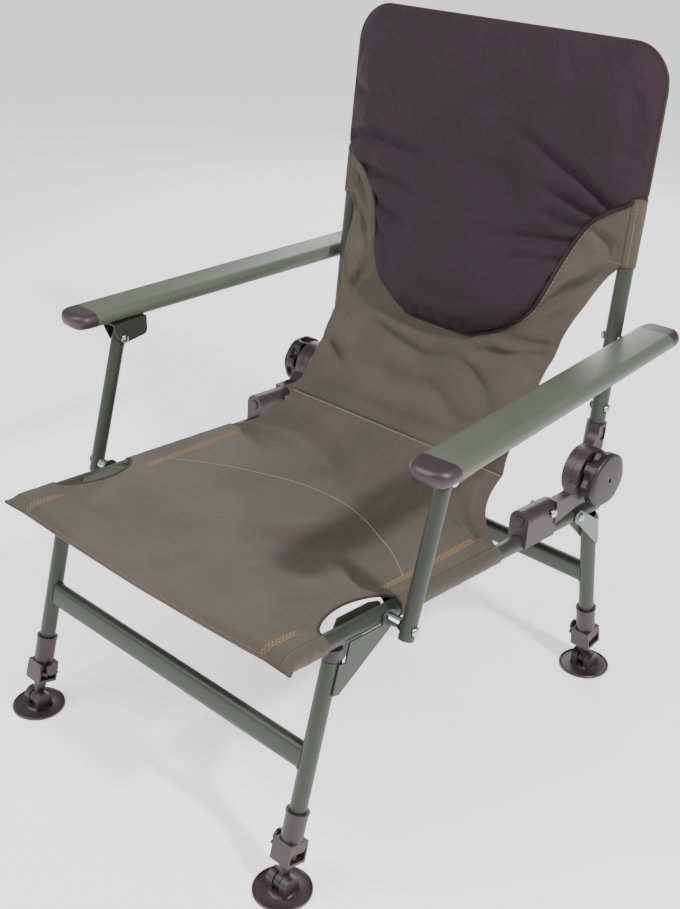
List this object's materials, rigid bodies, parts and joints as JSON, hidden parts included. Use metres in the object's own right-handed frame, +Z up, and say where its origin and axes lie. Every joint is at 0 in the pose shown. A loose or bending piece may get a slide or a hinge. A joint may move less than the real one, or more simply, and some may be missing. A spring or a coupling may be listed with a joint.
{
  "type": "folding fishing chair",
  "caption": "Reclining folding fishing chair with a slung fabric seat, padded headrest, flat armrests, telescopic legs and swivelling mud feet.",
  "frame": {"origin": "middle of the chair's outline on the floor", "axes": "+Z up, the sitter faces -Y, +X is the sitter's left"},
  "size_m": [0.632, 0.6688, 0.8368],
  "materials": {
    "green_steel": "satin",
    "grey_steel": "satin",
    "black_steel": "satin",
    "armrest_alloy": "satin",
    "zinc_steel": "bright zinc plate",
    "black_plastic": "fine-grained moulding",
    "olive_cloth": "coated woven polyester",
    "black_cloth": "padded woven polyester"
  },
  "bodies": {
    "seat_frame": {"seat_tube_left": "green_steel", "seat_tube_right": "green_steel", "hinge_lower_arm_left": "black_plastic", "hinge_lower_arm_right": "black_plastic", "saddle_screw_left": "zinc_steel", "saddle_screw_right": "zinc_steel", "front_pivot_bolt_left": "zinc_steel", "front_pivot_bolt_right": "zinc_steel", "rear_pivot_rivet_left": "zinc_steel", "rear_pivot_rivet_right": "zinc_steel", "seat_cover": "olive_cloth"},
    "backrest": {"back_frame": "green_steel", "back_cover": "olive_cloth", "head_pad": "black_cloth", "back_sling": "olive_cloth", "hinge_upper_arm_left": "black_plastic", "hinge_upper_arm_right": "black_plastic", "socket_bolt_left": "zinc_steel", "socket_bolt_right": "zinc_steel", "armrest_bolt_left": "zinc_steel", "armrest_bolt_right": "zinc_steel"},
    "armrest_left": {"armrest_left": "armrest_alloy", "armrest_cap_front_left": "black_plastic", "armrest_cap_rear_left": "black_plastic", "armrest_bracket_left": "green_steel", "post_rivet_left": "zinc_steel"},
    "post_left": {"armrest_post_left": "green_steel"},
    "knob_left": {"recline_knob_left": "black_plastic"},
    "armrest_right": {"armrest_right": "armrest_alloy", "armrest_cap_front_right": "black_plastic", "armrest_cap_rear_right": "black_plastic", "armrest_bracket_right": "green_steel", "post_rivet_right": "zinc_steel"},
    "post_right": {"armrest_post_right": "green_steel"},
    "knob_right": {"recline_knob_right": "black_plastic"},
    "front_legs": {"front_leg_frame": "green_steel", "front_leg_bracket_left": "green_steel", "front_leg_bracket_right": "green_steel", "leg_plug_left": "black_plastic", "leg_plug_right": "black_plastic", "front_collar_left": "black_plastic", "front_collar_right": "black_plastic"},
    "front_inner_leg_left": {"front_inner_leg_left": "black_steel"},
    "front_foot_left": {"front_foot_left": "black_plastic"},
    "front_lever_left": {"front_lever_left": "black_plastic"},
    "front_inner_leg_right": {"front_inner_leg_right": "black_steel"},
    "front_foot_right": {"front_foot_right": "black_plastic"},
    "front_lever_right": {"front_lever_right": "black_plastic"},
    "rear_legs": {"rear_leg_frame": "green_steel", "rear_leg_bracket_left": "grey_steel", "rear_leg_bracket_right": "grey_steel", "rear_collar_left": "black_plastic", "rear_collar_right": "black_plastic"},
    "rear_inner_leg_left": {"rear_inner_leg_left": "black_steel"},
    "rear_foot_left": {"rear_foot_left": "black_plastic"},
    "rear_lever_left": {"rear_lever_left": "black_plastic"},
    "rear_inner_leg_right": {"rear_inner_leg_right": "black_steel"},
    "rear_foot_right": {"rear_foot_right": "black_plastic"},
    "rear_lever_right": {"rear_lever_right": "black_plastic"}
  },
  "joints": [
    {"name": "recline", "type": "hinge", "parent": "seat_frame", "child": "backrest", "pos_m": [0, 0.22504, 0.33254], "axis": [1, 0, 0], "range_deg": [-50, 84], "deforming": ["back_sling"]},
    {"name": "armrest_left_pivot", "type": "hinge", "parent": "backrest", "child": "armrest_left", "pos_m": [0, 0.27204, 0.49554], "axis": [1, 0, 0], "range_deg": [-84, 50]},
    {"name": "post_left_pivot", "type": "hinge", "parent": "seat_frame", "child": "post_left", "pos_m": [0, -0.15048, 0.2961], "axis": [1, 0, 0], "range_deg": [-50, 84]},
    {"name": "knob_left_turn", "type": "hinge", "parent": "seat_frame", "child": "knob_left", "pos_m": [0, 0.22504, 0.33254], "axis": [1, 0, 0], "range_deg": [0, 180]},
    {"name": "armrest_right_pivot", "type": "hinge", "parent": "backrest", "child": "armrest_right", "pos_m": [0, 0.27204, 0.49554], "axis": [1, 0, 0], "range_deg": [-84, 50]},
    {"name": "post_right_pivot", "type": "hinge", "parent": "seat_frame", "child": "post_right", "pos_m": [0, -0.15048, 0.2961], "axis": [1, 0, 0], "range_deg": [-50, 84]},
    {"name": "knob_right_turn", "type": "hinge", "parent": "seat_frame", "child": "knob_right", "pos_m": [0, 0.22504, 0.33254], "axis": [-1, 0, 0], "range_deg": [0, 180]},
    {"name": "front_legs_fold", "type": "hinge", "parent": "seat_frame", "child": "front_legs", "pos_m": [0, -0.15048, 0.2961], "axis": [1, 0, 0], "range_deg": [0, 95]},
    {"name": "front_left_leg_slide", "type": "slide", "parent": "front_legs", "child": "front_inner_leg_left", "axis": [0, 0.2639, 0.9646], "range_m": [-0.1, 0]},
    {"name": "front_left_foot_tilt", "type": "hinge", "parent": "front_inner_leg_left", "child": "front_foot_left", "pos_m": [0.2314, -0.30023, 0.014], "axis": [1, 0, 0], "range_deg": [-25, 25]},
    {"name": "front_left_lever_press", "type": "hinge", "parent": "front_legs", "child": "front_lever_left", "pos_m": [0.2444, -0.28901, 0.05499], "axis": [0, -0.9646, 0.2639], "range_deg": [0, 8], "stiffness_Nm_per_rad": 0.05},
    {"name": "front_right_leg_slide", "type": "slide", "parent": "front_legs", "child": "front_inner_leg_right", "axis": [0, 0.2639, 0.9646], "range_m": [-0.1, 0]},
    {"name": "front_right_foot_tilt", "type": "hinge", "parent": "front_inner_leg_right", "child": "front_foot_right", "pos_m": [-0.2314, -0.30023, 0.014], "axis": [1, 0, 0], "range_deg": [-25, 25]},
    {"name": "front_right_lever_press", "type": "hinge", "parent": "front_legs", "child": "front_lever_right", "pos_m": [-0.2444, -0.28901, 0.05499], "axis": [0, 0.9646, -0.2639], "range_deg": [0, 8], "stiffness_Nm_per_rad": 0.05},
    {"name": "rear_legs_fold", "type": "hinge", "parent": "seat_frame", "child": "rear_legs", "pos_m": [0, 0.21334, 0.27385], "axis": [1, 0, 0], "range_deg": [-95, 0]},
    {"name": "rear_left_leg_slide", "type": "slide", "parent": "rear_legs", "child": "rear_inner_leg_left", "axis": [0, -0.1426, 0.9898], "range_m": [-0.1, 0]},
    {"name": "rear_left_foot_tilt", "type": "hinge", "parent": "rear_inner_leg_left", "child": "rear_foot_left", "pos_m": [0.2314, 0.28958, 0.014], "axis": [1, 0, 0], "range_deg": [-25, 25]},
    {"name": "rear_left_lever_press", "type": "hinge", "parent": "rear_legs", "child": "rear_lever_left", "pos_m": [0.2444, 0.28352, 0.05606], "axis": [0, -0.9898, -0.1426], "range_deg": [0, 8], "stiffness_Nm_per_rad": 0.05},
    {"name": "rear_right_leg_slide", "type": "slide", "parent": "rear_legs", "child": "rear_inner_leg_right", "axis": [0, -0.1426, 0.9898], "range_m": [-0.1, 0]},
    {"name": "rear_right_foot_tilt", "type": "hinge", "parent": "rear_inner_leg_right", "child": "rear_foot_right", "pos_m": [-0.2314, 0.28958, 0.014], "axis": [1, 0, 0], "range_deg": [-25, 25]},
    {"name": "rear_right_lever_press", "type": "hinge", "parent": "rear_legs", "child": "rear_lever_right", "pos_m": [-0.2444, 0.28352, 0.05606], "axis": [0, 0.9898, 0.1426], "range_deg": [0, 8], "stiffness_Nm_per_rad": 0.05}
  ],
  "couplings": [
    {"joint": "armrest_left_pivot", "follows": "recline", "ratio": -1},
    {"joint": "post_left_pivot", "follows": "recline", "ratio": 1},
    {"joint": "armrest_right_pivot", "follows": "recline", "ratio": -1},
    {"joint": "post_right_pivot", "follows": "recline", "ratio": 1}
  ]
}
